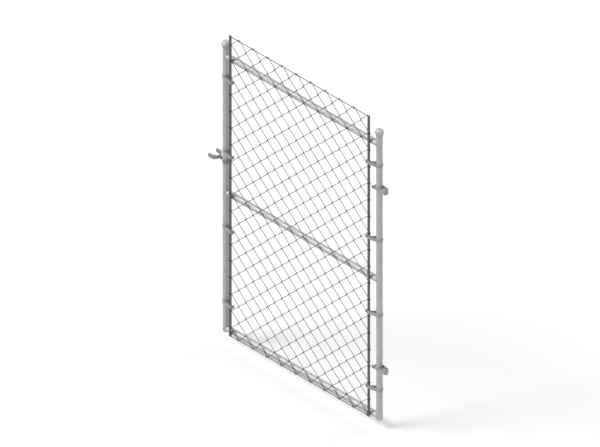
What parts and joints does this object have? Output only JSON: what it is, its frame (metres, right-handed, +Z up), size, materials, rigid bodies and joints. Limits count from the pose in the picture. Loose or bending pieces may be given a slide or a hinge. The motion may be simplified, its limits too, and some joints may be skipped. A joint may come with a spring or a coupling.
{
  "type": "chain link walk gate leaf",
  "caption": "Tube frame gate leaf with woven diamond wire fabric, tension bars and bands, dome caps, hinge eyes on pins and a lifting fork latch.",
  "frame": {"origin": "centre of the flat underside of the lower hinge pin's foot, on the swing axis", "axes": "+Z up along the swing axis, -X along the gate from the hinges to the latch, -Y towards the side that carries the wire fabric"},
  "size_m": [1.2385, 0.061, 1.84],
  "materials": {
    "frame_tube": "galvanised, faint spangle",
    "cap_casting": "cast, satin",
    "woven_wire": "weathered galvanised wire, dark grey",
    "tension_wire": "weathered galvanised wire, dark grey",
    "flat_bar": "weathered galvanised flat bar, dark grey",
    "pressed_strap": "galvanised strap",
    "latch_steel": "galvanised plate",
    "pin_steel": "plated pin"
  },
  "bodies": {
    "pintles": {"lower_pintle": "pin_steel", "upper_pintle": "pin_steel"},
    "leaf": {"latch_stile": "frame_tube", "hinge_stile": "frame_tube", "bottom_rail": "frame_tube", "middle_rail": "frame_tube", "top_rail": "frame_tube", "latch_stile_cap": "cap_casting", "hinge_stile_cap": "cap_casting", "chain_link_fabric": "woven_wire", "bottom_tension_wire": "tension_wire", "top_tension_wire": "tension_wire", "latch_side_tension_bar": "flat_bar", "hinge_side_tension_bar": "flat_bar", "latch_side_band_1": "pressed_strap", "latch_side_band_2": "pressed_strap", "latch_side_band_3": "pressed_strap", "latch_side_band_4": "pressed_strap", "hinge_side_band_1": "pressed_strap", "hinge_side_band_2": "pressed_strap", "hinge_side_band_3": "pressed_strap", "hinge_side_band_4": "pressed_strap", "latch_collar": "pressed_strap", "latch_pivot_pin": "latch_steel", "lower_hinge_clamp": "pressed_strap", "upper_hinge_clamp": "pressed_strap"},
    "fork": {"latch_fork": "latch_steel"}
  },
  "joints": [
    {"name": "leaf_swing", "type": "hinge", "parent": "pintles", "child": "leaf", "pos_m": [0, 0, 0.0183], "axis": [0, 0, 1], "range_deg": [-90, 90]},
    {"name": "fork_lift", "type": "hinge", "parent": "leaf", "child": "fork", "pos_m": [-1.1595, 0, 0.7443], "axis": [0, 1, 0], "range_deg": [0, 90]}
  ]
}
